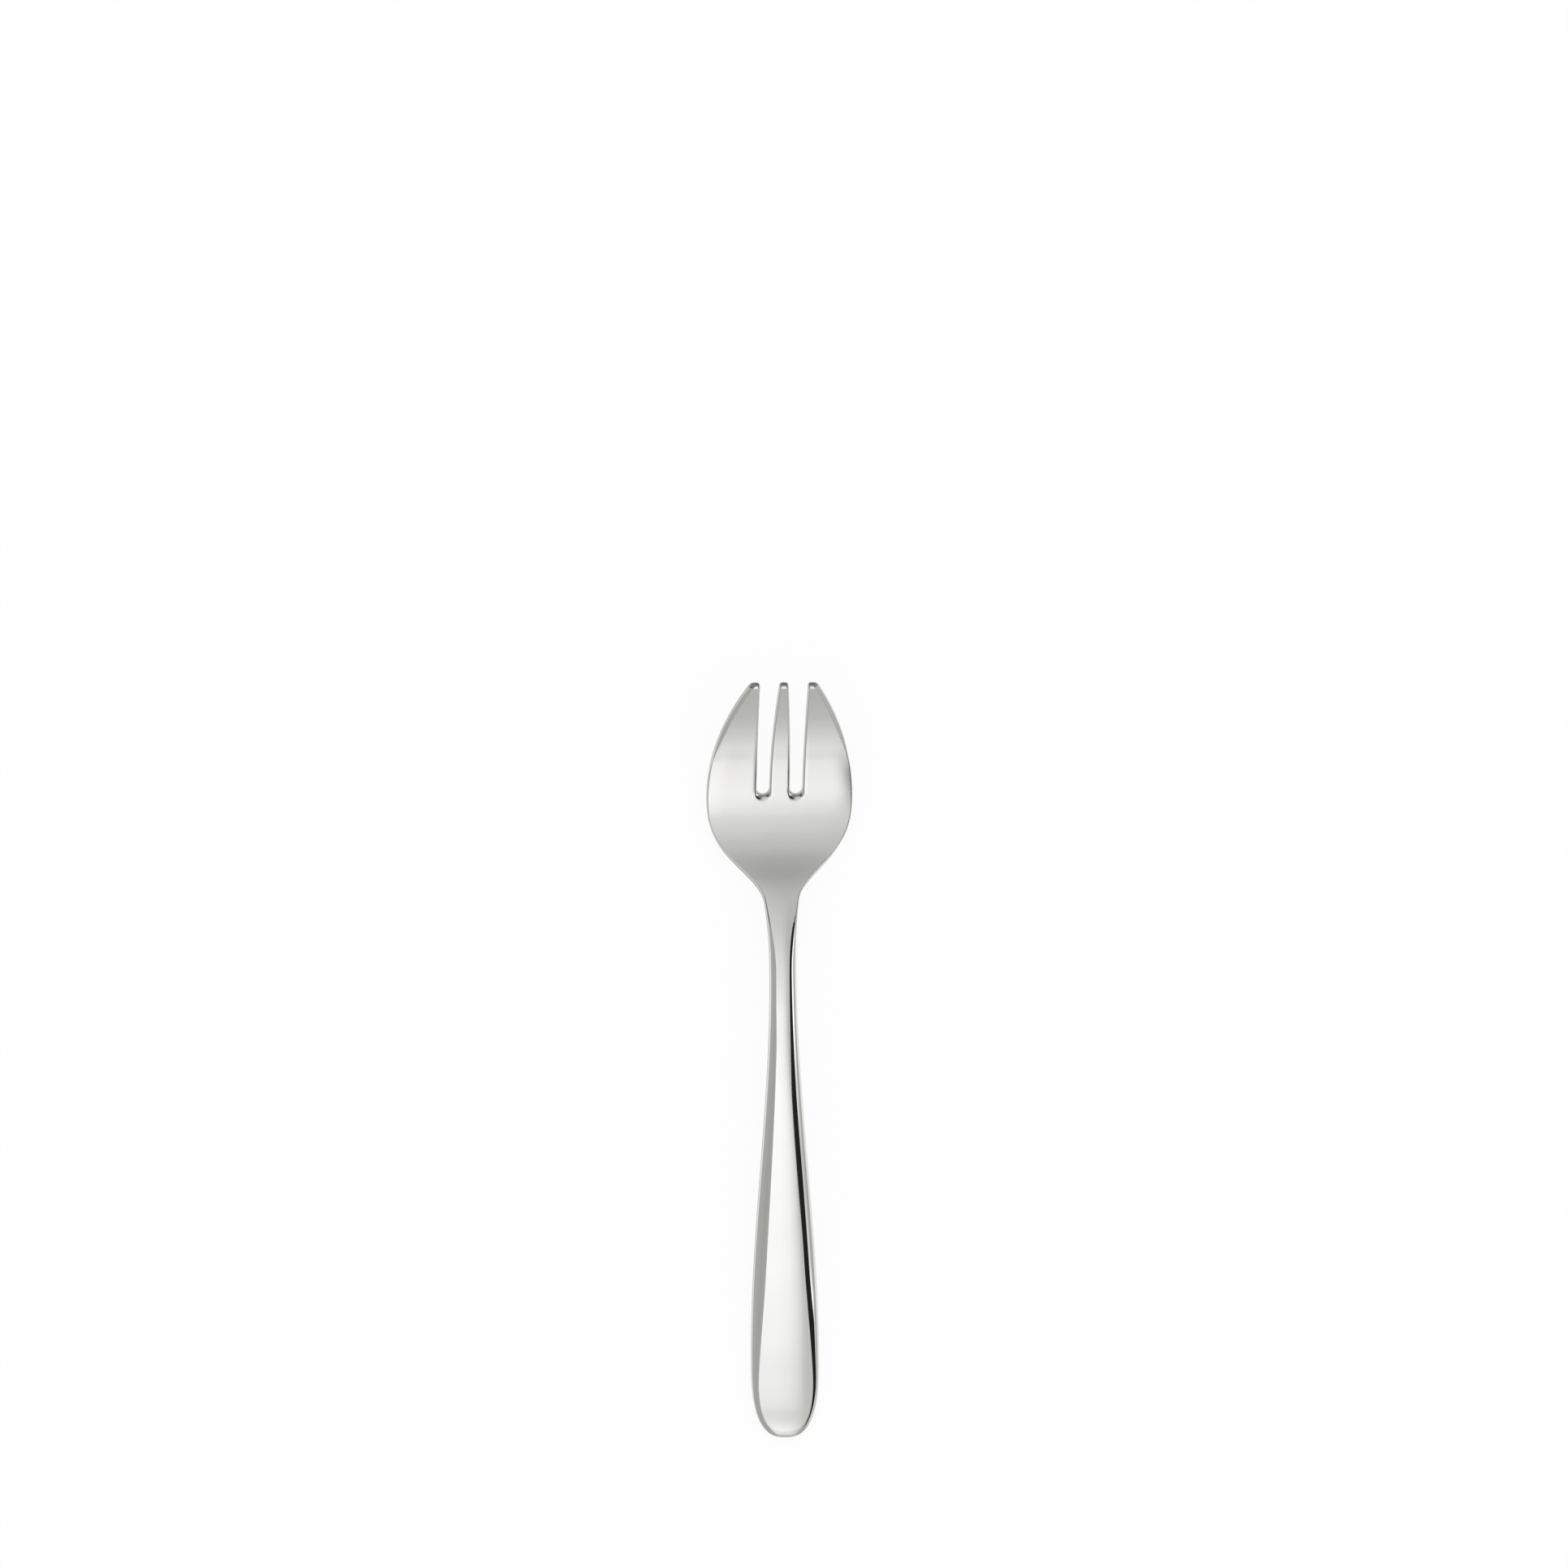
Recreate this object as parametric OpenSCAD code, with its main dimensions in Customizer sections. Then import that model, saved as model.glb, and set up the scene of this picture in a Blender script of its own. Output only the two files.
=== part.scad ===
// Oyster fork, forged in one piece: a broad dished head with three tines, a slim neck and a spatulate handle.
// X is across, Y runs along with the tips at +Y, and Z is up. The fork rests on the bowl of its head and
// on the end of its handle, as it lies on a table.

/* [Overall] */
// Length from the tips of the tines to the end of the handle
length = 145; // [136:1:158]

/* [Head] */
// Width of the head at its widest
head_w = 28.2; // [25:0.2:31]
// Distance from the tips to the widest part of the head
widest_at = 21.5; // [20:0.5:24]
// Distance from the tips to the foot of the head, where the neck begins
foot_at = 42; // [39:0.5:45]
// Width at the foot of the head
foot_w = 6.7; // [6:0.1:8]
// Thickness of the metal in the head
head_t = 1.8; // [1.5:0.1:2.2]
// Depth of the dish, measured across the widest part
dish = 0.3; // [0.1:0.05:1]
// Distance from the tips to the lowest point of the head
low_at = 28.5; // [26:0.5:31]
// Radius of the softened edges round the head and the slots
edge_r = 0.35; // [0.2:0.05:0.5]
// Breadth of the rounding in front of the slots' roots
root_round = 1.4; // [0.8:0.1:1.8]

/* [Tines] */
// Width over the tips of the two outer tines
tips_w = 12.8; // [12:0.2:14]
// Width of each outer tine at its tip
outer_tip_w = 1.8; // [1.5:0.05:2.1]
// Width of the centre tine at its tip
centre_tip_w = 1.7; // [1.5:0.1:2.2]
// Width of the centre tine at its root
centre_root_w = 3.85; // [3.2:0.05:4.3]
// Thickness of the metal at the tips
tip_t = 1.5; // [1.2:0.1:1.8]
// Length of the slots, from the tips to their round roots
slot_l = 21.1; // [19:0.1:23]
// Width of the slots at their roots
slot_w = 2.55; // [2.2:0.05:2.9]
// Height of the tips above the lowest point of the head
tip_rise = 12.6; // [10:0.2:14]
// Radius of the corners of the tips
corner_r = 0.45; // [0.3:0.05:0.6]
// Breadth of the rounding over the tips
tip_round = 1; // [0.7:0.05:1.4]
// Breadth of the bevel ground along the outer edges of the outer tines
bevel_w = 0.6; // [0.3:0.05:0.7]
// Distance from the tips to where the bevel runs out
bevel_l = 17; // [14:0.5:19]

/* [Neck] */
// Distance from the tips to the waist, where the neck is narrowest
waist_at = 55.5; // [52:0.5:61]
// Width at the waist
waist_w = 5.1; // [4.6:0.1:6]
// Thickness at the waist
waist_t = 3; // [2.6:0.1:3.6]
// Breadth of the rounding along each side of the waist
waist_round = 1.3; // [0.9:0.1:1.6]
// Distance from the tips to the crest of the arch under the neck
crest_at = 60; // [56:0.5:66]
// Height of the arch under the crest
crest_rise = 3.6; // [2:0.2:5]

/* [Handle] */
// Width of the handle at its widest
handle_w = 13.1; // [11:0.1:15]
// Distance from the handle's end to its widest part
palm_in = 15; // [14:0.5:18]
// Length of the rounded end
end_l = 14.4; // [12:0.2:15]
// Greatest thickness of the handle
handle_t = 3.8; // [3.2:0.1:4.4]
// Distance from the handle's end to its thickest part
thick_in = 33; // [28:1:40]
// Breadth of the rounding along each side where the handle is thickest
handle_round = 2.25; // [1.6:0.05:2.6]
// Height of the crown across the top face
crown = 0.35; // [0.15:0.05:0.6]
// Thickness of the handle's end
end_t = 1.5; // [1.2:0.1:2]
// Breadth of the rounding round the handle's end
end_round = 0.3; // [0.2:0.05:0.45]
// Distance from the handle's end to where its underside meets the table
rest_in = 6; // [4:0.5:9]
// Depth of the small worn flats that the bowl and the handle's end stand on
worn = 0.06; // [0.03:0.01:0.12]

/* [Hidden] */

// Places and widths on the flank of the head, as shares of the way from its widest part to its foot,
// and how steep the outline is there, where 1 is the straight line between the two
flank_share = 0.545;
flank_drop_share = 0.327;
flank_steep_share = 1.47;
foot_steep_share = 0.3;
// How steeply the outline flares from the tips, where 1 is the straight line to the widest part
flare_share = 2.17;
// How steeply the centre tine widens at its tip, where 1 is the straight line to its root
tine_flare_share = 1.9;
// The heel is the steep stretch from the bowl up to the crest, told the same way
heel_share = 0.3;
heel_rise_share = 0.47;
heel_steep_share = 2.2;
// How steeply the tines rise at their tips, where 1 is the straight line from the lowest point
tip_steep_share = 1.7;
// How much of the thickness the rounding takes from the top and from the underside
top_round_share = 0.55;
under_round_share = 0.38;
// How much of the thickness the rounding over the tips takes
tip_round_share = 0.3;
// How steep the bevel is, and how far along it keeps its breadth
bevel_steep_share = 0.7;
bevel_even_share = 0.45;
// Breadth of the rounding below against that of the top face
under_breadth_share = 0.75;
// Crown of the underside, which is flat again where it rests on the table
under_crown_share = 0.6;
// Crown at the waist against that of the handle
waist_crown_share = 0.6;
// How steeply the handle thins at its end, where 1 is the straight line from its thickest part
thin_steep_share = 1.1;
// A superellipse of this power closes the handle's end
end_power = 2.65;

root_at = slot_l - slot_w / 2;
palm_at = length - palm_in;
thick_at = length - thick_in;
end_at = length - end_l;
flank_at = widest_at + flank_share * (foot_at - widest_at);
flank_w = head_w - flank_drop_share * (head_w - foot_w);
head_fall = (head_w - foot_w) / 2 / (foot_at - widest_at);
root_out = centre_root_w / 2 + slot_w;
tip_out = tips_w / 2 - outer_tip_w;
heel_at = low_at + heel_share * (crest_at - low_at);
heel_fall = crest_rise / (crest_at - low_at);
end_fall = (handle_t - end_t) / thick_in;

// Each curve along the fork is a row of keys: distance from the tips, value there, slope there.
// Half the width, before the end of the handle is rounded off
outline_keys = [
    [0, tips_w / 2, flare_share * (head_w - tips_w) / 2 / widest_at],
    [widest_at, head_w / 2, 0],
    [flank_at, flank_w / 2, -flank_steep_share * head_fall],
    [foot_at, foot_w / 2, -foot_steep_share * head_fall],
    [waist_at, waist_w / 2, 0],
    [palm_at, handle_w / 2, 0]
];
// Half the width of the centre tine, which is the inner edge of a slot
slot_in_keys = [
    [0, centre_tip_w / 2, tine_flare_share * (centre_root_w - centre_tip_w) / 2 / root_at],
    [root_at, centre_root_w / 2, 0]
];
// The inner edge of an outer tine, which is the outer edge of a slot
slot_out_keys = [
    [0, tip_out, (root_out - tip_out) / root_at],
    [root_at, root_out, 0]
];
// Height of the underside along the middle of the fork
base_keys = [
    [0, tip_rise, -tip_steep_share * tip_rise / low_at],
    [low_at, 0, 0],
    [heel_at, heel_rise_share * crest_rise, heel_steep_share * heel_fall],
    [crest_at, crest_rise, 0],
    [length - rest_in, 0, 0],
    [length, 0, 0]
];
thickness_keys = [
    [0, tip_t, 0],
    [low_at, head_t, 0],
    [waist_at, waist_t, 0],
    [thick_at, handle_t, 0],
    [length, end_t, -thin_steep_share * end_fall]
];
// Breadth of the rounding at the outer edge
round_keys = [
    [0, edge_r, 0],
    [foot_at, edge_r, 0],
    [waist_at, waist_round, 0],
    [thick_at, handle_round, 0],
    [length, end_round, -(handle_round - end_round) / thick_in]
];
bevel_keys = [
    [0, bevel_w, 0],
    [bevel_even_share * bevel_l, bevel_w, 0],
    [bevel_l, 0, 0],
    [length, 0, 0]
];
dish_keys = [
    [0, dish, 0],
    [low_at, dish, 0],
    [waist_at, 0, 0],
    [length, 0, 0]
];
crown_keys = [
    [0, 0, 0],
    [low_at, 0, 0],
    [waist_at, waist_crown_share * crown, 0],
    [thick_at, crown, 0],
    [length, crown, 0]
];
under_crown_keys = [
    [0, 0, 0],
    [low_at, 0, 0],
    [waist_at, under_crown_share * crown, 0],
    [length - rest_in, 0, 0],
    [length, 0, 0]
];

// The cubic from key a to key b, and its slope
function cubic(a, b, d) =
    let (run = b[0] - a[0], t = (d - a[0]) / run, u = 1 - t)
    a[1] * u * u * (1 + 2 * t) + b[1] * t * t * (1 + 2 * u) + run * t * u * (a[2] * u - b[2] * t);
function cubic_slope(a, b, d) =
    let (run = b[0] - a[0], t = (d - a[0]) / run, u = 1 - t)
    6 * t * u * (b[1] - a[1]) / run + a[2] * u * (u - 2 * t) + b[2] * t * (t - 2 * u);
function key_before(keys, d, i = 0) =
    i >= len(keys) - 2 || d <= keys[i + 1][0] ? i : key_before(keys, d, i + 1);
function curve(keys, d) = let (i = key_before(keys, d)) cubic(keys[i], keys[i + 1], d);
function slope(keys, d) = let (i = key_before(keys, d)) cubic_slope(keys[i], keys[i + 1], d);

// A smooth step from 0 to 1, and a smooth stand-in for the lesser of two sizes
function step01(t) = let (s = min(1, max(0, t))) s * s * (3 - 2 * s);
function lesser(a, b) = pow(pow(a, -4) + pow(b, -4), -1 / 4);

// Plan of the fork: how much its tips' corners take off, how far d is into the rounded end, from 0 to 1,
// and the half width that is left
function corner(d) = d < corner_r ? corner_r - sqrt(corner_r * corner_r - pow(corner_r - d, 2)) : 0;
function into_end(d) = max(0, d - end_at) / end_l;
function side(d) = curve(outline_keys, min(d, palm_at));
function half_width(d) = side(d) * pow(1 - pow(into_end(d), end_power), 1 / end_power) - corner(d);
function slot_in(d) = curve(slot_in_keys, min(d, root_at)) - corner(d);
function slot_out(d) = curve(slot_out_keys, min(d, root_at)) + corner(d);
function slot_mid(d) = (slot_in(d) + slot_out(d)) / 2;

// How deep in the metal a point lies from the outer edge and from a slot's edge
function from_rim(x, d) =
    side(d) * (1 - pow(pow(x / side(d), end_power) + pow(into_end(d), end_power), 1 / end_power)) - corner(d);
function from_slot(x, d) =
    d > root_at ? norm([x - slot_mid(d), d - root_at]) - slot_w / 2
    : x < slot_mid(d) ? slot_in(d) - x
    : x - slot_out(d);

// How far the surface drops by an edge: a quarter ellipse, broad across the surface and deep through it.
// The breadths and depths are those at the outer edge, at a slot's edge and at the tips.
function nearness(inside, broad) = max(0, 1 - inside / broad);
function drop(x, d, broad, deep) =
    let (
        rim = nearness(from_rim(x, d), broad[0]),
        slot = nearness(from_slot(x, d), broad[1]),
        tip = nearness(d, broad[2]),
        near = rim * rim + slot * slot + tip * tip,
        mixed = rim * rim * deep[0] + slot * slot * deep[1] + tip * tip * deep[2]
    )
    near == 0 ? 0 : mixed / near * (1 - sqrt(max(0, 1 - near)));

// The rounding at a slot's edge is broadest right before its root. The bevel is a plane slope.
function slot_round(x, d) =
    d <= root_at ? edge_r
    : edge_r + (root_round - edge_r) * pow(d - root_at, 2) / (pow(x - slot_mid(d), 2) + pow(d - root_at, 2));
function bevelled(x, d) = bevel_steep_share * max(0, curve(bevel_keys, d) - max(0, from_rim(x, d)));

// Heights of the two faces over the middle of the underside, measured square to it
function dished(x, d) = curve(dish_keys, d) * pow(2 * x / head_w, 2);
function crowned(keys, x, d) = curve(keys, d) * pow(x / side(d), 2);
function top_height(x, d) =
    let (
        t = curve(thickness_keys, d),
        most = top_round_share * t,
        rim = curve(round_keys, d),
        slot = slot_round(x, d),
        deep = [lesser(rim, most), lesser(slot, most), tip_round_share * t]
    )
    t + dished(x, d) - crowned(crown_keys, x, d) - bevelled(x, d) - drop(x, d, [rim, slot, tip_round], deep);
function under_height(x, d) =
    let (
        t = curve(thickness_keys, d),
        broad = under_breadth_share * curve(round_keys, d),
        deep = lesser(broad, under_round_share * t)
    )
    dished(x, d) + crowned(under_crown_keys, x, d) + drop(x, d, [broad, broad, broad], [deep, deep, deep]);
function place(side_of, x, d, height) =
    let (lean = atan(slope(base_keys, d)))
    [side_of * x, -d + height * sin(lean), curve(base_keys, d) + height * cos(lean)];

// The surface is a grid of columns across and rows along. The columns are counted from the middle out to
// the edge of the centre tine, to the far edge of the slot, to the face of the outer tine, to its outer
// rounding and to the very edge of the fork.
tine_columns = 3;
slot_columns = 9;
blade_columns = 11;
round_columns = 14;
edge_columns = 18;
inset_shares = [1, 0.3, 0];
turn = 180 / (slot_columns - tine_columns);
rounding_turn = 90 / (edge_columns - round_columns);

// Breadth of the edge columns, which stays inside a narrow tine and inside the narrowing end
function tine_inset(d) = min(edge_r, 0.8 * slot_in(d), 0.4 * (half_width(d) - slot_out(d)));
function bevel_inset(d) = min(curve(bevel_keys, d), 0.5 * (half_width(d) - slot_out(d)));
function rim_inset(d) =
    d < root_at ? max(tine_inset(d), bevel_inset(d)) : min(curve(round_keys, d), 0.6 * half_width(d));
function tine_column(k, d) =
    let (inset = tine_inset(d), blade = slot_out(d) + inset, rim = half_width(d) - rim_inset(d))
    k == 0 ? 0
    : k < tine_columns ? slot_in(d) - inset * inset_shares[k - 1]
    : k <= slot_columns ? slot_mid(d) - (slot_out(d) - slot_in(d)) / 2 * cos(turn * (k - tine_columns))
    : k < blade_columns ? slot_out(d) + inset * inset_shares[blade_columns - k]
    : blade + (rim - blade) * (k - blade_columns) / (round_columns - blade_columns);
function column(k, d) =
    let (
        rim = half_width(d) - rim_inset(d),
        spread = step01((d - root_at) / (join_at - root_at)),
        as_at_root = tine_column(k, root_at) / tine_column(round_columns, root_at)
    )
    k > round_columns ? half_width(d) - rim_inset(d) * (1 - sin(rounding_turn * (k - round_columns)))
    : d <= root_at ? tine_column(k, d)
    : rim * ((1 - spread) * as_at_root + spread * k / round_columns);

// Rows from the tips to the end. Past the slots' roots, the rows bow round them and straighten out again.
tip_rows = 6;
tine_rows = 13;
bow_rows = 11;
bowl_rows = 14;
handle_rows = 26;
end_rows = 10;
last_turn = 86;
tip_row_shares = [0, 0.04, 0.12, 0.25, 0.42, 0.68];
bow_row_shares = [0, 0.012, 0.045, 0.095, 0.16, 0.24, 0.34, 0.48, 0.64, 0.82, 1];
bow_l = 2.2 * slot_w;
join_at = foot_at + bow_l / 2;
row_places = [
    for (share = tip_row_shares) share * tip_round,
    for (i = [0 : tine_rows - 1]) tip_round + (root_at - tip_round) * i / tine_rows,
    for (share = bow_row_shares) root_at + share * bow_l,
    for (i = [1 : bowl_rows]) root_at + bow_l + (join_at - root_at - bow_l) * i / bowl_rows,
    for (i = [1 : handle_rows]) join_at + (end_at - join_at) * i / handle_rows,
    for (i = [1 : end_rows]) end_at + end_l * sin(last_turn * i / end_rows)
];
root_row = tip_rows + tine_rows;
join_row = root_row + bow_rows - 1 + bowl_rows;
last_row = len(row_places) - 1;
function bow(k, d) =
    d < root_at || k < tine_columns || k > slot_columns ? 0
    : slot_w / 2 * sin(turn * (k - tine_columns)) * (1 - step01((d - root_at) / bow_l));

across = 2 * edge_columns + 1;
function half_column(c) = abs(c - edge_columns);
function point(r, c, upper) =
    let (
        k = half_column(c),
        x = column(k, row_places[r]),
        d = row_places[r] + bow(k, row_places[r])
    )
    place(sign(c - edge_columns), x, d, upper ? top_height(x, d) : under_height(x, d));
raw_points = [
    for (upper = [true, false], r = [0 : last_row], c = [0 : across - 1]) point(r, c, upper)
];
function top(at) = at[0] * across + at[1];
function under(at) = top(at) + (last_row + 1) * across;

// Columns between which metal spans the gap below a row. The slots' columns are open down to the root
// row, and the slim neck and handle need only a few of the columns.
handle_columns = [
    for (k = [edge_columns : -1 : round_columns]) edge_columns - k,
    edge_columns - round_columns / 2,
    edge_columns,
    edge_columns + round_columns / 2,
    for (k = [round_columns : edge_columns]) edge_columns + k
];
function in_slot(c) = let (k = half_column(c + 0.5)) k > tine_columns && k < slot_columns;
function cells(r) =
    r >= join_row
        ? [for (i = [0 : len(handle_columns) - 2]) [handle_columns[i], handle_columns[i + 1]]]
        : [for (c = [0 : across - 2]) if (r >= root_row || !in_slot(c)) [c, c + 1]];

// A cell's triangles, [row, column] at each corner. At the row where the columns thin out, they fan.
function tiles(r, a, b) =
    let (upper = r == join_row ? [for (c = [a : b]) c] : [a, b], pivot = a < edge_columns ? b : a)
    concat(
        [for (i = [0 : len(upper) - 2]) [[r, upper[i]], [r, upper[i + 1]], [r + 1, pivot]]],
        [a < edge_columns ? [[r, a], [r + 1, b], [r + 1, a]] : [[r, b], [r + 1, b], [r + 1, a]]]
    );
plate = [for (r = [0 : last_row - 1], cell = cells(r), tile = tiles(r, cell[0], cell[1])) tile];

// The edge of the metal, walked once round as [row, column]: over the tines, round the slots, down the
// right side, over the handle's end and up the left side
rim = [
    for (c = [0 : edge_columns - slot_columns]) [0, c],
    for (r = [1 : root_row]) [r, edge_columns - slot_columns],
    for (c = [edge_columns - slot_columns + 1 : edge_columns - tine_columns]) [root_row, c],
    for (r = [root_row - 1 : -1 : 0]) [r, edge_columns - tine_columns],
    for (c = [edge_columns - tine_columns + 1 : edge_columns + tine_columns]) [0, c],
    for (r = [1 : root_row]) [r, edge_columns + tine_columns],
    for (c = [edge_columns + tine_columns + 1 : edge_columns + slot_columns]) [root_row, c],
    for (r = [root_row - 1 : -1 : 0]) [r, edge_columns + slot_columns],
    for (c = [edge_columns + slot_columns + 1 : 2 * edge_columns]) [0, c],
    for (r = [1 : last_row]) [r, 2 * edge_columns],
    for (i = [len(handle_columns) - 2 : -1 : 0]) [last_row, handle_columns[i]],
    for (r = [last_row - 1 : -1 : 1]) [r, 0]
];
wall = [
    for (i = [0 : len(rim) - 1])
        let (here = rim[i], next = rim[(i + 1) % len(rim)])
        each [[top(next), top(here), under(here)], [top(next), under(here), under(next)]]
];
skin = [
    for (t = plate) [top(t[0]), top(t[1]), top(t[2])],
    for (t = plate) [under(t[2]), under(t[1]), under(t[0])],
    each wall
];

// The points are set down so that the fork stands at height 0, on its flats, with its length centred on
// the origin
lowest = min([for (p = raw_points) p[2]]);
foremost = max([for (p = raw_points) p[1]]);
rearmost = min([for (p = raw_points) p[1]]);
points = [for (p = raw_points) [p[0], p[1] - (foremost + rearmost) / 2, max(0, p[2] - lowest - worn)]];

module fork() {
    color("silver") polyhedron(points = points, faces = skin, convexity = 8);
}

fork();
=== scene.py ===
# %% [markdown]
# # An oyster fork in stainless steel
# An oyster fork is one piece of steel from its tines to the end of its handle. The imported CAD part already
# has its true size and form, and this scene gives it what a solid modeller leaves out: a skin fine enough
# for a mirror finish, the steel itself, and the light that steel needs before it looks like steel.
# The first lines load the part, and everything later is placed in its frame, in metres.

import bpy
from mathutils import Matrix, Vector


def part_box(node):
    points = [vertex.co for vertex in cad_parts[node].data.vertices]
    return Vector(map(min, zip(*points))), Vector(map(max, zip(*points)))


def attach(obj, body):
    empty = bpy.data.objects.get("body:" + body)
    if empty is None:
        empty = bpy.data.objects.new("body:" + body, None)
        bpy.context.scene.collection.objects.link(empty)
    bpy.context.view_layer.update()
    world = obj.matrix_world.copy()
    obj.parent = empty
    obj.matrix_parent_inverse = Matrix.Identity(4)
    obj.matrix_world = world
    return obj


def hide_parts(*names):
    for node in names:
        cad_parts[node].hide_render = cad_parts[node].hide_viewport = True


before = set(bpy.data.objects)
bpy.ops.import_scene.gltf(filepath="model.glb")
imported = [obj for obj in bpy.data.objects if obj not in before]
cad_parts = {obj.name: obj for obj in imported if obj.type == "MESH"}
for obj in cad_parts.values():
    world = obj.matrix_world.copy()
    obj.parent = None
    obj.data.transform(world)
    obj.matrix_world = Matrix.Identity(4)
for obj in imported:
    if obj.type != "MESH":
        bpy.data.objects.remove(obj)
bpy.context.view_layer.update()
low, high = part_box("fork")
print("the fork is", [round(side * 1000, 2) for side in high - low], "mm")

# %% [markdown]
# The rest of the tools are Blender's own. A bmesh is Blender's mesh while it is being modelled.

# %% Modules
from math import atan, cos, hypot, pi, radians, sin, sqrt

import bmesh
import bpy
from mathutils import Matrix, Vector

MM = 0.001

# %% [markdown]
# ## How the real fork is made
# A flat blank is stamped from strip, its slots are pierced, its head is dished in a die, and its edges are
# broken and polished. The model follows the same order: a flat sheet, slots taken out of it, a thickness,
# and then the bends. Every size is a curve along the fork, told by a few keys. A key is the distance from
# the tips, the value there and how fast it changes there, all in millimetres.

# %% The curves along the fork
root_at, slot_radius = 19.7, 1.275
widest_at, head_half_width = 21.5, 14.1
bowl_at, shoulder_at, neck_at, thickest_at, handle_at = 28.5, 42, 55.5, 112, 130
end_at, end_length, end_power = 130.6, 14.4, 2.65
length = end_at + end_length
bevel_breadth = 0.75

half_width_keys = [
    (0, 6.4, 0.7771), (widest_at, head_half_width, 0), (32.6725, 10.5847, -0.7708),
    (shoulder_at, 3.35, -0.1573), (neck_at, 2.55, 0), (handle_at, 6.55, 0),
]
slot_in_keys = [(0, 0.85, 0.103), (root_at, 1.925, 0)]
slot_out_keys = [(0, 4.6, -0.0063), (root_at, 4.475, 0)]
underside_keys = [
    (0, 12.6, -0.7516), (bowl_at, 0, 0), (37.95, 1.692, 0.2514), (60, 3.6, 0), (139, 0, 0), (length, 0, 0),
]
thickness_keys = [
    (0, 1.5, 0), (bowl_at, 1.8, 0), (neck_at, 3, 0), (thickest_at, 3.8, 0), (length, 1.5, -0.0767),
]
rounding_keys = [
    (0, 0.27, 0), (shoulder_at, 0.3, 0), (neck_at, 1.3, 0), (thickest_at, 2.25, 0), (length, 0.45, -0.0591),
]
bevel_keys = [(0, bevel_breadth, 0), (7.65, bevel_breadth, 0), (17, 0, 0), (length, 0, 0)]
dish_keys = [(0, 0.3, 0), (bowl_at, 0.3, 0), (neck_at, 0, 0), (length, 0, 0)]
fall_keys = [(0, 0, 0), (9, 0, 0), (16, 0.12, 0), (28, 0.01, 0), (shoulder_at, 0, 0), (length, 0, 0)]
lift_keys = [(0, 0, 0), (126, 0, 0), (134, 0.05, 0.012), (140.5, 0.1, -0.004), (length, 0.19, 0.06)]
crown_keys = [(0, 0, 0), (bowl_at, 0, 0), (neck_at, 0.21, 0), (thickest_at, 0.35, 0), (length, 0.35, 0)]
under_crown_keys = [(0, 0, 0), (bowl_at, 0, 0), (neck_at, 0.21, 0), (139, 0, 0), (length, 0, 0)]


def curve(keys, d):
    """The value of a curve at distance d from the tips, and its slope there."""
    i = 0
    while i < len(keys) - 2 and d > keys[i + 1][0]:
        i += 1
    (start, v0, s0), (stop, v1, s1) = keys[i], keys[i + 1]
    run = stop - start
    t = (d - start) / run
    u = 1 - t
    value = v0 * u * u * (1 + 2 * t) + v1 * t * t * (1 + 2 * u) + run * t * u * (s0 * u - s1 * t)
    rise = 6 * t * u * (v1 - v0) / run + s0 * u * (u - 2 * t) + s1 * t * (t - 2 * u)
    return value, rise


print("the head is", 2 * curve(half_width_keys, widest_at)[0], "mm wide")

# %% [markdown]
# ## The plan
# Seen from above, the fork has soft corners at its tips, round roots to its slots and a rounded end, which
# is a superellipse: fuller than a half circle, as such a handle is cut.

# %% The plan of the blank
corner_radius = 0.45


def corner(d):
    """What the soft corners at the tips take off at the sides."""
    return corner_radius - sqrt(corner_radius**2 - (corner_radius - d) ** 2) if d < corner_radius else 0


def into_end(d):
    """How far into the rounded end, from 0 to 1."""
    return max(0, d - end_at) / end_length


def side(d):
    return curve(half_width_keys, min(d, handle_at))[0]


def half_width(d):
    return side(d) * (1 - into_end(d) ** end_power) ** (1 / end_power) - corner(d)


def slot_in(d):
    return curve(slot_in_keys, min(d, root_at))[0] - corner(d)


def slot_out(d):
    return curve(slot_out_keys, min(d, root_at))[0] + corner(d)


def slot_middle(d):
    return (slot_in(d) + slot_out(d)) / 2


print("the neck is", 2 * half_width(neck_at), "mm wide")

# %% [markdown]
# ## The section
# The polished face rolls down towards every edge and ends there in a fine arris, hardly rounded, before the
# plain wall that the stamp left. How near a point is to the outer edge, to a slot and to a tip decides how
# far it drops. The head is a dished sheet, whose sides fall off a little more where the belt ran over them.

# %% Heights of the two faces
arris_breadth, arris_depth = 0.06, 0.13
tip_breadth, tip_depth = 0.65, 0.3
slot_roll, root_roll = 0.35, 1.05
bevel_slope, fall_breadth = 0.76, 3.5
lower_breadth = 0.75
upper_share, lower_share = 0.55, 0.38


def nearness(inside, broad):
    """From 1 at an edge to 0 where the roll towards it begins."""
    return max(0, 1 - inside / broad)


def quarter_round(near_squared):
    return 1 - sqrt(max(0, 1 - near_squared))


def from_rim(x, d):
    """How far a point is from the outer edge."""
    reach = ((x / side(d)) ** end_power + into_end(d) ** end_power) ** (1 / end_power)
    return side(d) * (1 - reach) - corner(d)


def from_slot(x, d):
    """How far it is from the slot's edge."""
    if d > root_at:
        return hypot(x - slot_middle(d), d - root_at) - slot_radius
    return slot_in(d) - x if x < slot_middle(d) else x - slot_out(d)


def lesser(a, b):
    """The lesser of two, with a soft change from one to the other."""
    return (a**-4 + b**-4) ** -0.25


def rolled(x, d, broad, deep):
    """How far a face rolls towards the outer edge and a slot's, each as broad and deep as told."""
    near = [nearness(inside, b) ** 2 for inside, b in zip((from_rim(x, d), from_slot(x, d)), broad)]
    whole = sum(near)
    mixed = sum(n * depth for n, depth in zip(near, deep)) / whole if whole else 0
    return mixed * (0.5 * whole + 0.09 * whole**2)


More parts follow.
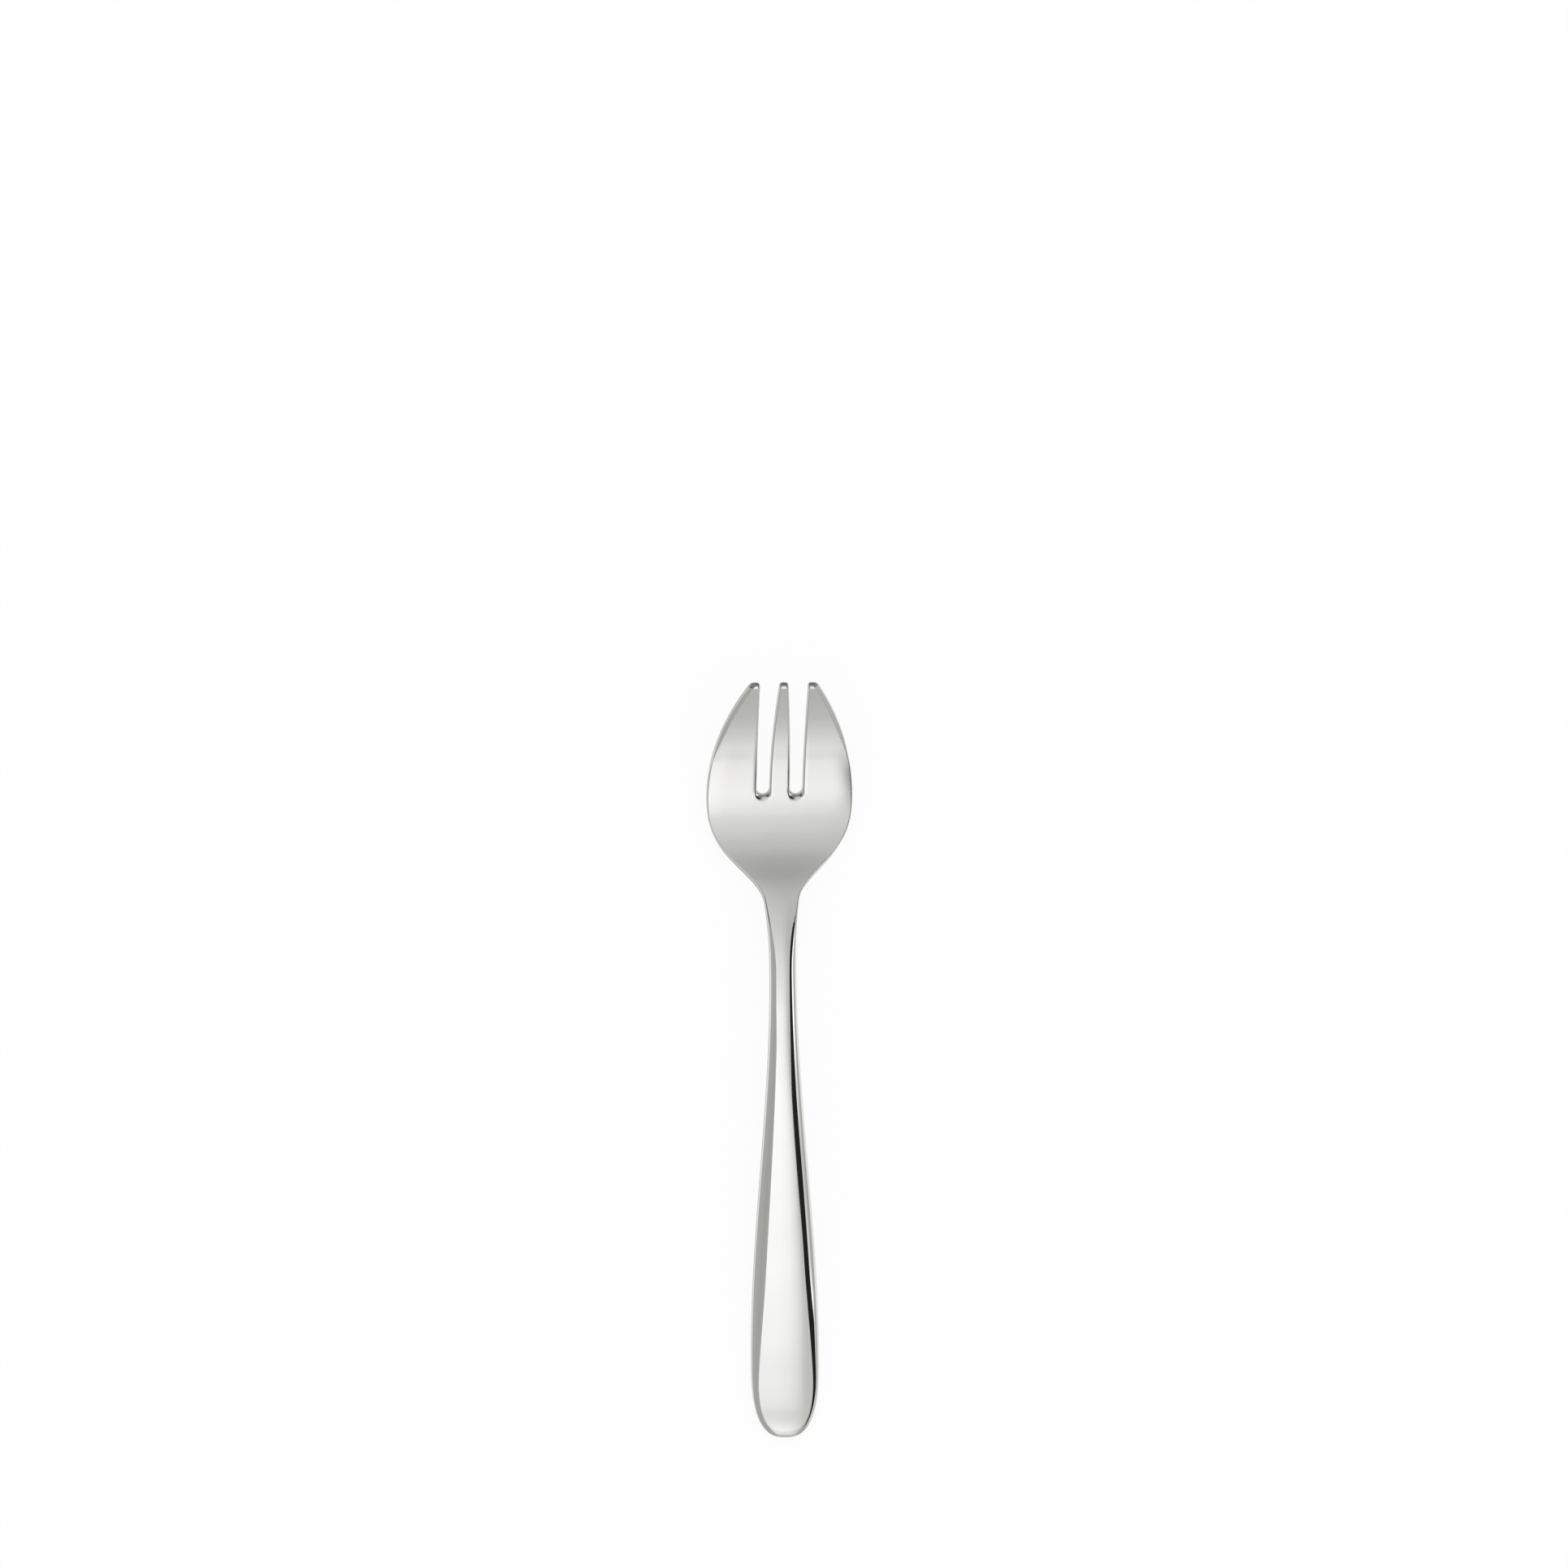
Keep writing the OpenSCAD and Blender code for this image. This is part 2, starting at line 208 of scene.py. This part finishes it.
def arris(x, d):
    """The last fine turn into the wall."""
    edges = from_rim(x, d), from_slot(x, d), d
    return arris_depth * quarter_round(sum(nearness(inside, arris_breadth) ** 2 for inside in edges))


def slot_round(x, d):
    """The breadth of the roll at a slot's edge, which is most right before its root."""
    ahead = max(0, d - root_at)
    return slot_roll + root_roll * ahead**2 / ((x - slot_middle(d)) ** 2 + ahead**2) if ahead else slot_roll


def bevel(x, d):
    """The plane that is ground along the outer edges of the outer tines."""
    return bevel_slope * max(0, curve(bevel_keys, d)[0] - max(0, from_rim(x, d)))


def fall(x, d):
    """How far the sides of the head fall off, less what the end of the handle lifts."""
    return curve(fall_keys, d)[0] * nearness(from_rim(x, d), fall_breadth) ** 2 - curve(lift_keys, d)[0]


def height(x, d, upper):
    """Height over the middle of the underside, square to it."""
    t, broad = curve(thickness_keys, d)[0], curve(rounding_keys, d)[0]
    dished = curve(dish_keys, d)[0] * (x / head_half_width) ** 2
    across = (x / side(d)) ** 2
    if upper:
        by_slot, ground = slot_round(x, d), curve(bevel_keys, d)[0] / bevel_breadth
        by_rim, most = broad * (1 - 0.8 * ground), upper_share * t
        roll = rolled(x, d, (by_rim, by_slot), (lesser(by_rim, most), lesser(by_slot, most)))
        tip = tip_depth * quarter_round(nearness(d, tip_breadth) ** 2)
        crowned = curve(crown_keys, d)[0] * across
        return t + dished - crowned - bevel(x, d) - fall(x, d) - roll - tip - arris(x, d)
    broad *= lower_breadth
    deep = lesser(broad, lower_share * t)
    roll = rolled(x, d, (broad, broad), (deep, deep)) + deep * quarter_round(nearness(d, broad) ** 2) / 2
    return dished + curve(under_crown_keys, d)[0] * across + roll + arris(x, d)


worn = 0.06


def place(x, d, upper):
    """The point of a face over the plan's point x, d."""
    base, rise = curve(underside_keys, d)
    lean, h = atan(rise), height(abs(x), d, upper)
    return Vector((x, -d + h * sin(lean), max(worn, base + h * cos(lean))))


print("the bowl is", round(place(0, bowl_at, True).z, 2), "mm thick and the tips rise to",
      round(place(0, 0.4, True).z, 2), "mm")

# %% [markdown]
# ## Columns and rows
# The skin is one grid. Its columns run along the fork and are crowded where the metal turns over an edge,
# because a mirror shows every facet there. Past the roots of the slots the rows bow round them.

# %% Where the columns and rows lie
TINE, SLOT, BLADE, FACE, EDGE, TURN = 10, 26, 32, 46, 60, 6
slot_inset = 0.35
bow_length = 2.2 * 2 * slot_radius
join_at = shoulder_at + bow_length / 2


def step01(t):
    """A soft step from 0 to 1."""
    s = min(1, max(0, t))
    return s * s * (3 - 2 * s)


def quarter(i, n):
    """From 1 to 0 in n steps that get finer towards the end."""
    return 1 - sin(pi / 2 * i / n)


def rim_inset(d):
    """The breadth of the crowded columns along the outer edge."""
    if d < root_at:
        tine = half_width(d) - slot_out(d)
        return max(min(slot_inset, 0.4 * tine), min(curve(bevel_keys, d)[0], 0.5 * tine))
    return min(curve(rounding_keys, d)[0], 0.6 * half_width(d))


def tine_column(k, d):
    """Where column k runs beside the slots."""
    inset = min(slot_inset, 0.4 * slot_in(d), 0.4 * (half_width(d) - slot_out(d)))
    if k <= TINE - TURN:
        return (slot_in(d) - inset) * k / (TINE - TURN)
    if k <= TINE:
        return slot_in(d) - inset * quarter(k - TINE + TURN, TURN)
    if k < SLOT:
        return slot_middle(d) - (slot_out(d) - slot_in(d)) / 2 * cos(pi * (k - TINE) / (SLOT - TINE))
    if k <= BLADE:
        return slot_out(d) + inset * quarter(BLADE - k, TURN)
    blade, rim = slot_out(d) + inset, half_width(d) - rim_inset(d)
    return rim if k == FACE else blade + (rim - 0.07 - blade) * (k - BLADE) / (FACE - 1 - BLADE)


def column(k, d):
    """Where column k runs, anywhere along the fork."""
    rim = half_width(d) - rim_inset(d)
    if k > FACE:
        return half_width(d) - rim_inset(d) * quarter(k - FACE, EDGE - FACE)
    if d <= root_at:
        return tine_column(k, d)
    spread = step01((d - root_at) / (join_at - root_at))
    return rim * ((1 - spread) * tine_column(k, root_at) / tine_column(FACE, root_at) + spread * k / FACE)


def bow(k, d):
    """How far a row bows away from the slot's root."""
    if d < root_at or k < TINE or k > SLOT:
        return 0
    return slot_radius * sin(pi * (k - TINE) / (SLOT - TINE)) * (1 - step01((d - root_at) / bow_length))


def spread_rows(start, stop, count):
    return [start + (stop - start) * i / count for i in range(count)]


rows = [0, 0.006, 0.02, 0.045, 0.08, 0.13, 0.18, 0.24, 0.3, 0.37, 0.45, 0.55, 0.66, 0.8, 1]
rows += spread_rows(1.3, root_at, 36)
rows += [root_at + depth for depth in (0, 0.006, 0.02, 0.045, 0.08, 0.14, 0.22, 0.32, 0.44, 0.58, 0.74, 0.92,
                                       1.1, 1.3, 1.5)]
rows += spread_rows(root_at + 1.8, join_at, 44)
rows += spread_rows(join_at, end_at, 150)
rows += [end_at + end_length * sin(radians(87.5) * i / 40) for i in range(41)]
root_row = rows.index(root_at)
print(len(rows), "rows of", 2 * EDGE, "cells, with the slots' roots at row", root_row)

# %% [markdown]
# ## The sheet
# A grid operator gives half of the flat sheet with its rows and columns already counted out. Each corner
# is then drawn to its place on the plan, and the cells that lie in the slot are cut out. Two layers keep
# the plan with the corners, so that the thickness can read it later. A mirror gives the other half.

# %% Half a sheet, pierced and mirrored
bm = bmesh.new()
bmesh.ops.create_grid(bm, x_segments=EDGE, y_segments=len(rows) - 1, size=0.5)
plan_x = bm.verts.layers.float.new("plan_x")
plan_d = bm.verts.layers.float.new("plan_d")
pierced = []
for face in bm.faces:
    middle = face.calc_center_median()
    k, r = (middle.x + 0.5) * EDGE, (0.5 - middle.y) * (len(rows) - 1)
    if TINE < k < SLOT and r < root_row:
        pierced.append(face)
bmesh.ops.delete(bm, geom=pierced, context="FACES")
for v in bm.verts:
    k, r = round((v.co.x + 0.5) * EDGE), round((0.5 - v.co.y) * (len(rows) - 1))
    v[plan_x], v[plan_d] = column(k, rows[r]), rows[r] + bow(k, rows[r])
    v.co = Vector((v[plan_x], -v[plan_d], 0))
bmesh.ops.mirror(bm, geom=bm.verts[:] + bm.edges[:] + bm.faces[:], axis="X", merge_dist=1e-5)
bmesh.ops.recalc_face_normals(bm, faces=bm.faces[:])
if sum(face.normal.z for face in bm.faces) < 0:
    bmesh.ops.reverse_faces(bm, faces=bm.faces[:])
print("the sheet has", len(bm.faces), "cells")

# %% [markdown]
# ## The thickness and the bends
# The sheet is extruded once: its copy becomes the top face and what stays is the underside, with a wall
# between them all round and down through the slots. Both are then bent to their heights. The extrusion
# makes the wall in no fixed order, so a sort by place gives every run the same mesh.

# %% Extrude and bend
made = bmesh.ops.extrude_face_region(bm, geom=bm.faces[:])
upper = {v for v in made["geom"] if isinstance(v, bmesh.types.BMVert)}
for v in bm.verts:
    v.co = place(v.co.x, v[plan_d], v in upper) * MM
bmesh.ops.recalc_face_normals(bm, faces=bm.faces[:])
for face in bm.faces:
    # The wall faces take the second material, whose darker grey is painted shade.
    face.material_index = int(0 < sum(v in upper for v in face.verts) < 4)
sort_by = Vector((1, sqrt(2), sqrt(3)))
bm.faces.sort(key=lambda face: face.calc_center_median().dot(sort_by))
print("the skin has", len(bm.faces), "faces, and", sum(not e.is_manifold for e in bm.edges), "open edges")

# %% [markdown]
# The CAD part stands on the bowl of its head and on the end of its handle. The skin is set into the part's
# own box, so that it stands on the same two places and is nowhere larger.

# %% Set the skin into the part's box
corners = [Vector(f(v.co[i] for v in bm.verts) for i in range(3)) for f in (min, max)]
scale = Vector((high[i] - low[i]) / (corners[1][i] - corners[0][i]) for i in range(3))
bmesh.ops.translate(bm, verts=bm.verts[:], vec=-(corners[0] + corners[1]) / 2)
bmesh.ops.scale(bm, verts=bm.verts[:], vec=scale)
bmesh.ops.translate(bm, verts=bm.verts[:], vec=(low + high) / 2)
print("scaled by", [round(s, 5) for s in scale])

# %% [markdown]
# The mesh becomes one piece. It takes the place of the part's only node, which is hidden, and it rides on
# the part's only body.

# %% Make the piece
mesh = bpy.data.meshes.new("forged_fork")
bm.to_mesh(mesh)
bm.free()
mesh.shade_smooth()
fork = bpy.data.objects.new("forged_fork", mesh)
bpy.context.scene.collection.objects.link(fork)
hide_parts("fork")
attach(fork, "root")
print("the piece has", sum(len(p.vertices) - 2 for p in mesh.polygons), "triangles")

# %% [markdown]
# ## Colour and node helpers
# Hex colours are written as the eye sees them, and shaders count light, so one function turns the one into
# the other. A second one adds a node, sets it up and joins its inputs.

# %% Helpers
def light(value):
    """What a value of a picture from 0 to 255 is in light."""
    v = value / 255
    return v / 12.92 if v <= 0.04045 else ((v + 0.055) / 1.055) ** 2.4


def colour(hex_code):
    return [light(int(hex_code[i : i + 2], 16)) for i in (1, 3, 5)] + [1]


def add(tree, kind, inputs=None, **settings):
    """Adds a node; inputs are values, or the sockets that feed them."""
    node = tree.nodes.new(kind)
    for name, value in settings.items():
        setattr(node, name, value)
    for name, value in (inputs or {}).items():
        if isinstance(value, bpy.types.NodeSocket):
            tree.links.new(value, node.inputs[name])
        else:
            node.inputs[name].default_value = value
    return node


def ramp(tree, factor, stops, blue=1):
    """A grey, or one a little bluer, that follows factor through (place, value) stops."""
    node = add(tree, "ShaderNodeValToRGB", {"Fac": factor})
    elements = node.color_ramp.elements
    elements[0].position, elements[1].position = stops[0][0], stops[-1][0]
    for place_, _ in stops[1:-1]:
        elements.new(place_)
    for element, (_, value) in zip(elements, stops):
        element.color = (value, value, value * blue, 1)
    return node.outputs["Color"]


print("mid grey is", round(light(128), 3), "in light")

# %% [markdown]
# ## The steel
# The fork is 18/8 stainless steel, polished all over: a mirror on the handle and a finer satin on the head,
# where a belt leaves lines that run lengthwise. The satin is a higher roughness with a bump of long thin
# lines, and it gives way to the mirror at the neck. The real lines are a few hundredths of a millimetre
# apart, which no picture of the whole fork can show, so they are drawn at about a tenth.

# %% Stainless steel, satin head and mirror handle
satin_from, satin_full = 26 * MM, 36 * MM
line_breadth, line_length, line_depth, cloud_size = 0.1 * MM, 4 * MM, 0.01 * MM, 12 * MM
polished = "#dcdbd7", "#e4e4e1"

steel = bpy.data.materials.new("stainless_steel_polished")
steel.use_nodes = True
tree = steel.node_tree
shader = tree.nodes["Principled BSDF"]
shader.inputs["Metallic"].default_value = 1

here = add(tree, "ShaderNodeTexCoord").outputs["Object"]
along = add(tree, "ShaderNodeSeparateXYZ", {"Vector": here}).outputs["Y"]
satin = add(tree, "ShaderNodeMapRange", {"Value": along, "From Min": satin_from, "From Max": satin_full},
            interpolation_type="SMOOTHSTEP").outputs["Result"]
line_scale = 1 / line_breadth, 1 / line_length, 1 / line_breadth
lines_at = add(tree, "ShaderNodeMapping", {"Vector": here, "Scale": line_scale})
lines = add(tree, "ShaderNodeTexNoise", {"Vector": lines_at.outputs["Vector"], "Scale": 1, "Detail": 2})
clouds = add(tree, "ShaderNodeTexNoise", {"Vector": here, "Scale": 1 / cloud_size, "Detail": 3})

satin_rough = add(tree, "ShaderNodeMapRange", {"Value": lines.outputs["Fac"], "To Min": 0.1, "To Max": 0.17})
mirror_rough = add(tree, "ShaderNodeMapRange",
                   {"Value": clouds.outputs["Fac"], "To Min": 0.02, "To Max": 0.05})
rough = add(tree, "ShaderNodeMix", {0: satin, 2: mirror_rough.outputs["Result"],
                                    3: satin_rough.outputs["Result"]})
tree.links.new(rough.outputs[0], shader.inputs["Roughness"])

tone = add(tree, "ShaderNodeMix", {0: clouds.outputs["Fac"], 6: colour(polished[0]), 7: colour(polished[1])},
           data_type="RGBA")
tree.links.new(tone.outputs[2], shader.inputs["Base Color"])

depth = add(tree, "ShaderNodeMath", {0: satin, 1: lines.outputs["Fac"]}, operation="MULTIPLY")
bump = add(tree, "ShaderNodeBump", {"Height": depth.outputs["Value"], "Strength": 0.25,
                                    "Distance": line_depth})
tree.links.new(bump.outputs["Normal"], shader.inputs["Normal"])
mesh.materials.append(steel)
print("the steel reflects", [[round(c, 2) for c in colour(code)[:3]] for code in polished])

# %% [markdown]
# The wall between the two faces was sheared by the stamp and then only ground, so it shows a softer picture
# of the room, with the fine upright lines of the grinding. It is also greyer, and that grey is painted shade:
# it stands in for the fork's own shadow on the table, which the wall mirrors. It is what outlines a fork that
# lies on white.

# %% Stainless steel, ground wall, greyed with painted shade
scratch_breadth, scratch_length = 0.3 * MM, 4 * MM
# These greys are darker than the steel's own: painted shade, for the fork's shadow on the table that the wall
# mirrors.
ground = "#9c9b97", "#adaca8"

ground_steel_with_painted_shade = bpy.data.materials.new("stainless_steel_ground_painted_shade")
ground_steel_with_painted_shade.use_nodes = True
tree = ground_steel_with_painted_shade.node_tree
shader = tree.nodes["Principled BSDF"]
shader.inputs["Metallic"].default_value = 1

here = add(tree, "ShaderNodeTexCoord").outputs["Object"]
scratch_scale = 1 / scratch_breadth, 1 / scratch_breadth, 1 / scratch_length
scratches_at = add(tree, "ShaderNodeMapping", {"Vector": here, "Scale": scratch_scale})
scratches = add(tree, "ShaderNodeTexNoise",
                {"Vector": scratches_at.outputs["Vector"], "Scale": 1, "Detail": 3}).outputs["Fac"]
rough = add(tree, "ShaderNodeMapRange", {"Value": scratches, "To Min": 0.22, "To Max": 0.38})
tree.links.new(rough.outputs["Result"], shader.inputs["Roughness"])
tone = add(tree, "ShaderNodeMix", {0: scratches, 6: colour(ground[0]), 7: colour(ground[1])},
           data_type="RGBA")
tree.links.new(tone.outputs[2], shader.inputs["Base Color"])
mesh.materials.append(ground_steel_with_painted_shade)
print("the wall has", sum(p.material_index == 1 for p in mesh.polygons), "faces")

# %% [markdown]
# ## The room
# Polished steel has hardly a colour of its own: what is seen in it is the room. A fork like this is pictured
# under one long white panel, with plain grey walls to its left and right and darker ones before its tips and
# behind its end. The walls are the world. Two ramps draw it, one by how far a direction leans across the
# fork and one by how far it leans along it, from -1 to 1, and the two are multiplied. What is matt gets a
# plain white light from all round. All greys below are written as they look in the steel, so each is made a
# little brighter first, by what the steel keeps back.

# %% The walls
steel_gives_back = 0.74


def shown(grey):
    """The light that this steel shows as a grey from 0 to 255."""
    return light(grey) / steel_gives_back


world = bpy.data.worlds.new("studio_walls")
bpy.context.scene.world = world
world.use_nodes = True
tree = world.node_tree
tree.nodes.clear()
away = add(tree, "ShaderNodeSeparateXYZ", {"Vector": add(tree, "ShaderNodeTexCoord").outputs["Generated"]})


def lean(axis, stops):
    """A light that changes with how far a direction leans along an axis."""
    share = add(tree, "ShaderNodeMapRange", {"Value": away.outputs[axis], "From Min": -1, "From Max": 1})
    return ramp(tree, share.outputs["Result"], [((at + 1) / 2, value) for at, value in stops])


greys_across = (
    (-1, 168), (-0.95, 165), (-0.7, 158), (-0.4, 159), (-0.15, 166), (0, 180), (0.3, 175), (0.45, 165),
    (0.65, 165), (0.77, 190), (0.87, 214), (0.91, 195), (0.94, 168), (1, 163),
)
shares_along = (
    (-1, 0.35), (-0.985, 0.4), (-0.96, 0.85), (-0.93, 1), (0.55, 1), (0.7, 0.5), (0.9, 0.25), (1, 0.25),
)
sides = lean("X", [(at, shown(grey)) for at, grey in greys_across])
ends = lean("Y", shares_along)
walls = add(tree, "ShaderNodeMix", {0: 1, 6: sides, 7: ends}, data_type="RGBA", blend_type="MULTIPLY")
seen = add(tree, "ShaderNodeBackground", {"Color": walls.outputs[2], "Strength": 1})
soft = add(tree, "ShaderNodeBackground", {"Color": (1, 1, 1, 1), "Strength": 1})
matt_ray = add(tree, "ShaderNodeLightPath").outputs["Is Diffuse Ray"]
room = add(tree, "ShaderNodeMixShader", {0: matt_ray, 1: seen.outputs["Background"],
                                         2: soft.outputs["Background"]})
add(tree, "ShaderNodeOutputWorld", {"Surface": room.outputs["Shader"]})
print("the walls give off", [round(shown(f(grey for _, grey in greys_across)), 2) for f in (min, max)])

# %% [markdown]
# ## The table
# The table is a white sheet that runs on past the picture. Camera and steel see mostly its own white, and for
# the rest matt paper, which takes the soft shadow of the fork.

# %% The table
table_reach, table_gap, own_white = 20, 0.05 * MM, 0.92
bm = bmesh.new()
bmesh.ops.create_grid(bm, x_segments=1, y_segments=1, size=table_reach)
bmesh.ops.translate(bm, verts=bm.verts[:], vec=(0, 0, low.z - table_gap))
mesh = bpy.data.meshes.new("table")
bm.to_mesh(mesh)
bm.free()
table = bpy.data.objects.new("table", mesh)
bpy.context.scene.collection.objects.link(table)
paper = bpy.data.materials.new("white_paper_matt")
paper.use_nodes = True
tree = paper.node_tree
tree.nodes.clear()
matt = add(tree, "ShaderNodeBsdfDiffuse", {"Color": colour("#f4f4f4")})
glow = add(tree, "ShaderNodeEmission", {"Color": (1, 1, 1, 1), "Strength": 1})
path = add(tree, "ShaderNodeLightPath").outputs
mirrored = add(tree, "ShaderNodeMath", {0: path["Is Glossy Ray"], 1: path["Is Transmission Ray"]},
               operation="MAXIMUM")
seen = add(tree, "ShaderNodeMath", {0: path["Is Camera Ray"], 1: mirrored.outputs["Value"]},
           operation="MAXIMUM")
share = add(tree, "ShaderNodeMath", {0: seen.outputs["Value"], 1: own_white}, operation="MULTIPLY")
both = add(tree, "ShaderNodeMixShader", {0: share.outputs["Value"], 1: matt.outputs["BSDF"],
                                         2: glow.outputs["Emission"]})
add(tree, "ShaderNodeOutputMaterial", {"Surface": both.outputs["Shader"]})
mesh.materials.append(paper)
print("the table lies", table_gap / MM, "mm under the fork")

# %% [markdown]
# ## The panel and the cards
# The panel hangs so near over the fork that the handle and the head see different parts of it. It fades to
# the right and to both ends. A dark card beside it draws the black line down the handle and the shadow at
# the right of the head, and a grey one goes on from there past the tips. Beyond the dark card a lit strip
# draws the thin light line along the handle's right edge. Two more cards darken small spots: one hangs at
# the left of the head, for the slots' roots and the neck's left edge, and one stands before the tips, for
# their caps. Only polished surfaces see any of them. Every sheet is a few rows, so that its sides can bend.

# %% The cards
panel_at, card_at, strip_at = 150, 149, 148
lit_from, panel_to, strip_to = -310, 145, 150


def sheet(name, rows):
    """A sheet in rows of (y, x from, x to, z), in millimetres, and its material's empty node tree."""
    bm = bmesh.new()
    bmesh.ops.create_grid(bm, x_segments=1, y_segments=len(rows) - 1, size=1)
    for v in bm.verts:
        y, x_from, x_to, z = rows[round((1 - v.co.y) / 2 * (len(rows) - 1))]
        v.co = Vector((x_from if v.co.x < 0 else x_to, y, z)) * MM
    mesh = bpy.data.meshes.new(name)
    bm.to_mesh(mesh)
    bm.free()
    hung = bpy.data.objects.new(name, mesh)
    bpy.context.scene.collection.objects.link(hung)
    hung.visible_camera = hung.visible_diffuse = hung.visible_shadow = False
    material = bpy.data.materials.new(name)
    material.use_nodes = True
    material.node_tree.nodes.clear()
    mesh.materials.append(material)
    return material.node_tree


def shine(tree, value):
    """Lets a sheet give off a light."""
    glow = add(tree, "ShaderNodeEmission", {"Color": value})
    add(tree, "ShaderNodeOutputMaterial", {"Surface": glow.outputs["Emission"]})


def level(z, rows):
    """Rows of (y, x from, x to) that all hang at one height."""
    return [(*row, z) for row in rows]


cards = (
    ("dark_card_beside", 32, level(card_at, (
        (70, 41, 147), (10, 36.5, 135), (-20, 33, 130), (-45, 37.5, 172), (-75, 43.5, 185), (-95, 52, 225),
        (-120, 72, 330), (-160, 90, 400)))),
    ("grey_card_beside", 112, level(card_at, (
        (150, 42, 300), (101, 42, 300), (100, 42, 150), (71, 41, 147)))),
    ("dark_card_left", 85, level(card_at, ((150, -300, -60), (55, -300, -60)))),
    ("dark_card_before", 122, [(95, -120, 60, 74), (95, -120, 60, 1)]),
)
for name, grey, card_rows in cards:
    shine(sheet(name, card_rows), [shown(grey)] * 3 + [1])
print(len(cards), "cards stand round the fork")

# %% [markdown]
# The strip's light is a grey that changes along its length. Every stop is a place in millimetres and the
# grey that the steel shows of it there.

# %% The strip
def spread(stops):
    """The (y, grey) stops of a sheet, as places from 0 to 1 and the light there."""
    first, last = stops[0][0], stops[-1][0]
    return [((y - first) / (last - first), shown(grey)) for y, grey in stops]


strip_greys = (
    (lit_from, 180), (-118, 210), (-104, 250), (-90, 250), (-75, 215), (-40, 184), (-15, 215), (5, 268),
    (45, 268), (70, 205), (strip_to, 185),
)
tree = sheet("lit_strip", level(strip_at, (
    (100, 150, 290), (38, 150, 290), (10, 135, 290), (-20, 130, 290), (-45, 170, 290),
    (-75, 185, 300), (-95, 225, 340), (-120, 330, 480), (lit_from, 400, 500))))
spot = add(tree, "ShaderNodeSeparateXYZ", {"Vector": add(tree, "ShaderNodeTexCoord").outputs["Object"]})
at_y = add(tree, "ShaderNodeMapRange",
           {"Value": spot.outputs["Y"], "From Min": lit_from * MM, "From Max": strip_to * MM})
shine(tree, ramp(tree, at_y.outputs["Result"], spread(strip_greys)))
print("the strip hangs", strip_at, "mm over the table")

# %% [markdown]
# The panel has such stops for its bright side and for its dim side, and a share that goes from the one to
# the other across its width. Over the neck and the head the light falls off sooner, so there the place
# across is read a little further to the right.

# %% The panel
bright_greys = (
    (lit_from, 177), (-221, 180), (-158, 208), (-130, 238), (-112, 213), (-103, 243), (-20, 253), (5, 243),
    (17, 223), (62, 203), (104, 188), (panel_to, 155),
)
dim_greys = (
    (lit_from, 177), (-221, 180), (-158, 207), (-111, 191), (-50, 177), (17, 187), (45, 181), (104, 180),
    (panel_to, 155),
)
bright_shares = (
    (0, 1), (2, 1), (8, 0.97), (15, 0.91), (21, 0.85), (27, 0.68), (33, 0.45), (38, 0.1), (42, 0),
)
mixed_over = bright_shares[-1][0]
bright_blue, dim_blue = 1.03, 0.985
shift_from, shift_full, shift = -45, 2, 11

tree = sheet("lit_panel", level(panel_at, (
    (panel_to, -50, 45), (10, -50, 45), (-4, -20, 45), (-40, -21, 45), (-90, -17, 45), (-120, -16.5, 50),
    (lit_from, -16.5, 80))))
spot = add(tree, "ShaderNodeSeparateXYZ", {"Vector": add(tree, "ShaderNodeTexCoord").outputs["Object"]})
at_y = add(tree, "ShaderNodeMapRange",
           {"Value": spot.outputs["Y"], "From Min": lit_from * MM, "From Max": panel_to * MM})
bright = ramp(tree, at_y.outputs["Result"], spread(bright_greys), bright_blue)
dim = ramp(tree, at_y.outputs["Result"], spread(dim_greys), dim_blue)
further = add(tree, "ShaderNodeMapRange",
              {"Value": spot.outputs["Y"], "From Min": shift_from * MM, "From Max": shift_full * MM,
               "To Max": shift * MM}, interpolation_type="SMOOTHSTEP")
across = add(tree, "ShaderNodeMath", {0: spot.outputs["X"], 1: further.outputs["Result"]}, operation="ADD")
at_x = add(tree, "ShaderNodeMapRange", {"Value": across.outputs["Value"], "From Max": mixed_over * MM})
share = ramp(tree, at_x.outputs["Result"], [(x / mixed_over, part) for x, part in bright_shares])
faded = add(tree, "ShaderNodeMix", {0: share, 6: dim, 7: bright}, data_type="RGBA")
shine(tree, faded.outputs[2])
print("the panel hangs", panel_at, "mm over the table")

# %% [markdown]
# ## The camera
# The photograph looks straight down from a metre away, a few degrees to the fork's left, with a long lens.
# The camera's back axis is built from those angles, and a small roll stands the fork as it lies there.

# %% The camera
frame_px, focal_px = 1932, 6383.3
aim = Vector((1.1135, 53.245, 0)) * MM
to_left, to_tips, roll = radians(5.869), radians(-1.141), radians(-0.599)
back = Vector((-sin(to_left) * cos(to_tips), sin(to_tips), cos(to_left) * cos(to_tips)))
up = (Vector((0, 1, 0)) - back * back.y).normalized()
right = up.cross(back)
axes = (right * cos(roll) + up * sin(roll), up * cos(roll) - right * sin(roll), back)
lens = bpy.data.cameras.new("camera")
lens.sensor_width = 36
lens.lens = focal_px / frame_px * lens.sensor_width
camera = bpy.data.objects.new("camera", lens)
camera.matrix_world = Matrix.Translation(aim + back) @ Matrix(axes).transposed().to_4x4()
bpy.context.scene.collection.objects.link(camera)
bpy.context.scene.camera = camera
bpy.context.scene.view_settings.view_transform = "Standard"
print("the lens is", round(lens.lens, 1), "mm")
